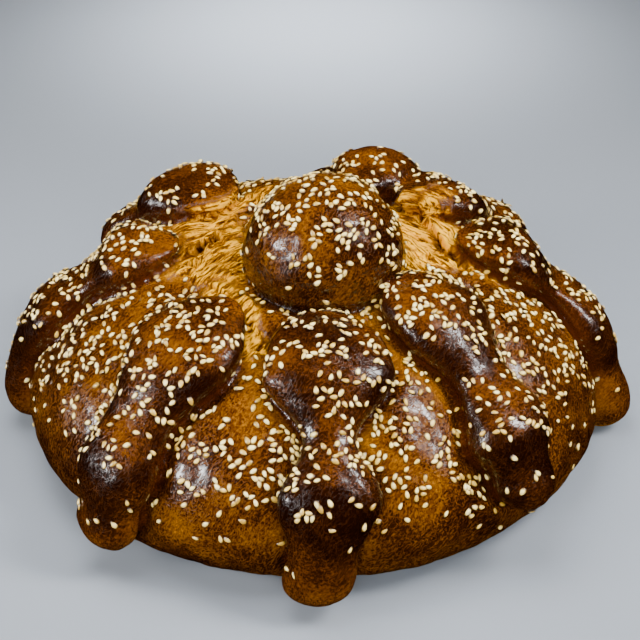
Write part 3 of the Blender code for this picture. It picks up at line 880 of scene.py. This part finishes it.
def scatter_seeds():
    """All the seeds as one mesh, each tilted, turned and sized as it happened to fall."""
    shape, faces, margin = model_seed()
    places, stands, heaped, rng = fallen_seeds()
    vertices, all_faces, tones = [], [], []
    for place, stand, heap in zip(places, stands, heaped):
        tilt = Vector(stand + rng.normal(0, SEED_TILT + HEAP_TILT * heap, 3)).normalized()
        spin = Matrix.Rotation(rng.uniform(0, 2 * math.pi), 3, "Z")
        turn = tilt.to_track_quat("Z", "Y").to_matrix() @ spin
        length = rng.uniform(*SEED_LENGTHS)
        stretch = np.array([1, rng.uniform(*SEED_WIDTHS), rng.uniform(*SEED_THICKNESSES)])
        start = len(vertices) * len(shape)
        lift = (SEED_LIFT + HEAP_LIFT * heap) * length
        vertices.append((shape * stretch * length) @ np.array(turn).T + place + stand * lift)
        all_faces.extend(tuple(corner + start for corner in face) for face in faces)
        tones.append(np.full(len(shape), rng.uniform()))
    mesh = bpy.data.meshes.new("sesame_seeds")
    mesh.from_pydata(np.concatenate(vertices).tolist(), [], all_faces)
    seeds = bpy.data.objects.new("sesame_seeds", mesh)
    bpy.context.scene.collection.objects.link(seeds)
    write_attribute(seeds, "tone", np.concatenate(tones))
    write_attribute(seeds, "margin", np.tile(margin, len(places)))
    mesh.shade_smooth()
    return seeds


# Hulled sesame: cream to straw, some toasted darker, with an oily soft shine and a darker rim. The skirt
# round the edge is painted shadow, near black.
SEED_COLOURS = ((0.0, "#a07a20"), (0.15, "#c8a040"), (0.5, "#e8cc74"), (1.0, "#f8e498"))
SEED_RIM_AND_SHADOW_COLOURS = ((0.45, "#a08030"), (0.64, "#6a4a0c"), (0.8, "#2a1400"), (1.0, "#1c0a00"))
SEED_RIM_AND_SHADOW_FROM, SEED_RIM_AND_SHADOW_TO = 0.4, 0.95
SEED_ROUGHNESS, SEED_IOR = 0.42, 1.47


def sesame_material():
    sesame = bpy.data.materials.new("hulled_white_sesame")
    sesame.use_nodes = True
    tree = sesame.node_tree
    shader = tree.nodes["Principled BSDF"]
    tone = add_node(tree, "ShaderNodeAttribute", {"attribute_name": "tone"})
    margin = add_node(tree, "ShaderNodeAttribute", {"attribute_name": "margin"})
    body = add_node(tree, "ShaderNodeValToRGB", None, {"Fac": tone.outputs["Fac"]})
    colour_stops(body.color_ramp, SEED_COLOURS)
    # The rim darkens outwards into the near-black painted shadow of the skirt
    rim_and_shadow_place = add_node(tree, "ShaderNodeMath", {"operation": "DIVIDE"},
                         {0: margin.outputs["Fac"], 1: SHADOW_SKIRT_MARGIN})
    rim_and_shadow = add_node(tree, "ShaderNodeValToRGB", None, {"Fac": rim_and_shadow_place.outputs[0]})
    colour_stops(rim_and_shadow.color_ramp, SEED_RIM_AND_SHADOW_COLOURS)
    edge_and_shadow = add_node(tree, "ShaderNodeMapRange", None,
                    {"Value": margin.outputs["Fac"], "From Min": SEED_RIM_AND_SHADOW_FROM, "From Max": SEED_RIM_AND_SHADOW_TO,
                     "To Min": 0.0, "To Max": 1.0})
    colour = add_node(tree, "ShaderNodeMix", {"data_type": "RGBA"},
                      {0: edge_and_shadow.outputs[0], 6: body.outputs[0], 7: rim_and_shadow.outputs[0]})
    tree.links.new(colour.outputs[2], shader.inputs["Base Color"])
    shader.inputs["Roughness"].default_value = SEED_ROUGHNESS
    shader.inputs["IOR"].default_value = SEED_IOR
    return sesame


seeds = scatter_seeds()
seeds.data.materials.append(sesame_material())
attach(seeds, "root")

# The table: a wide sheet of pale blue-grey paper, laid flat under the loaf. It is plain and matt, an even
# ground without shine, and the glaze doesn't mirror it.
TABLE_SIZE = 6
PAPER_COLOUR, PAPER_ROUGHNESS = "#757b83", 0.9
bpy.ops.object.select_all(action="DESELECT")
bpy.ops.mesh.primitive_plane_add(size=TABLE_SIZE)
table = bpy.context.object
table.name = "paper_table"
table.visible_glossy = False
paper = bpy.data.materials.new("matt_paper")
paper.use_nodes = True
paper_shader = paper.node_tree.nodes["Principled BSDF"]
paper_shader.inputs["Base Color"].default_value = linear(PAPER_COLOUR)
paper_shader.inputs["Roughness"].default_value = PAPER_ROUGHNESS
table.data.materials.append(paper)

# The light: a soft box over the loaf, a wide one in front and a small one at each side light the bread. Two
# small bright boxes at the sides show only as glints in the glaze, and a lamp brightens the table behind.
LIGHT_AIM = (0, 0, 0.05)
LEFT_AT, RIGHT_AT = (-0.853, -0.362, 0.435), (0.62, -0.166, 0.826)
NARROWED = 80


def soft_box(name, place, size, power, mirrored, spread=180):
    """A soft light that either lights the bread or shows as its mirror image in the glaze."""
    light = bpy.data.lights.new(name, "AREA")
    light.shape = "RECTANGLE"
    light.size, light.size_y = size
    light.energy = power
    light.spread = math.radians(spread)
    box = bpy.data.objects.new(name, light)
    bpy.context.scene.collection.objects.link(box)
    box.location = place
    box.rotation_euler = (Vector(LIGHT_AIM) - Vector(place)).to_track_quat("-Z", "Y").to_euler()
    box.visible_glossy = mirrored
    box.visible_diffuse = not mirrored


soft_box("top_box", (-0.1, 0.0, 0.65), size=(0.5, 0.4), power=3.1, mirrored=False, spread=110)
soft_box("front_fill", (0.0, -1.3, 0.8), size=(1.2, 0.6), power=36, mirrored=False)
soft_box("left_fill", LEFT_AT, size=(0.4, 0.4), power=1.2, mirrored=False, spread=NARROWED)
soft_box("right_fill", RIGHT_AT, size=(0.3, 0.5), power=3.6, mirrored=False, spread=NARROWED)
soft_box("left_box", LEFT_AT, size=(0.18, 0.18), power=56, mirrored=True)
soft_box("right_box", RIGHT_AT, size=(0.11, 0.28), power=46, mirrored=True)

POOL_AT, POOL_POWER = (0.0, 0.47, 0.4), 44
POOL_ANGLE, POOL_BLEND, POOL_LAMP_RADIUS = 56, 1.0, 0.1
pool_light = bpy.data.lights.new("backdrop_pool", "SPOT")
pool_light.energy = POOL_POWER
pool_light.spot_size = math.radians(POOL_ANGLE)
pool_light.spot_blend = POOL_BLEND
pool_light.shadow_soft_size = POOL_LAMP_RADIUS
pool = bpy.data.objects.new("backdrop_pool", pool_light)
pool.location = POOL_AT
pool.visible_glossy = False
bpy.context.scene.collection.objects.link(pool)

STUDIO_COLOUR, STUDIO_STRENGTH = "#c8ccd2", 0.14
world = bpy.data.worlds.new("dim_studio")
world.use_nodes = True
world.node_tree.nodes["Background"].inputs["Color"].default_value = linear(STUDIO_COLOUR)
world.node_tree.nodes["Background"].inputs["Strength"].default_value = STUDIO_STRENGTH
world.cycles_visibility.glossy = False
bpy.context.scene.world = world

# The camera stands in front of the loaf and looks down on it. The shifts move the picture on the sensor, so
# that the loaf lies a little low and left in the frame.
CAMERA_AT = Vector((-2.1 * MM, -519.2 * MM, 382.6 * MM))
CAMERA_AIM = Vector((-2.1 * MM, 0.8 * MM, 45 * MM))
FOCAL_LENGTH, SENSOR_WIDTH = 83.7, 36
SHIFT_ACROSS, SHIFT_UP = 0.011, 0.017
lens = bpy.data.cameras.new("camera")
lens.lens = FOCAL_LENGTH
lens.sensor_width = SENSOR_WIDTH
lens.shift_x = SHIFT_ACROSS
lens.shift_y = SHIFT_UP
camera = bpy.data.objects.new("camera", lens)
bpy.context.scene.collection.objects.link(camera)
camera.location = CAMERA_AT
camera.rotation_euler = (CAMERA_AIM - CAMERA_AT).to_track_quat("-Z", "Y").to_euler()
bpy.context.scene.camera = camera
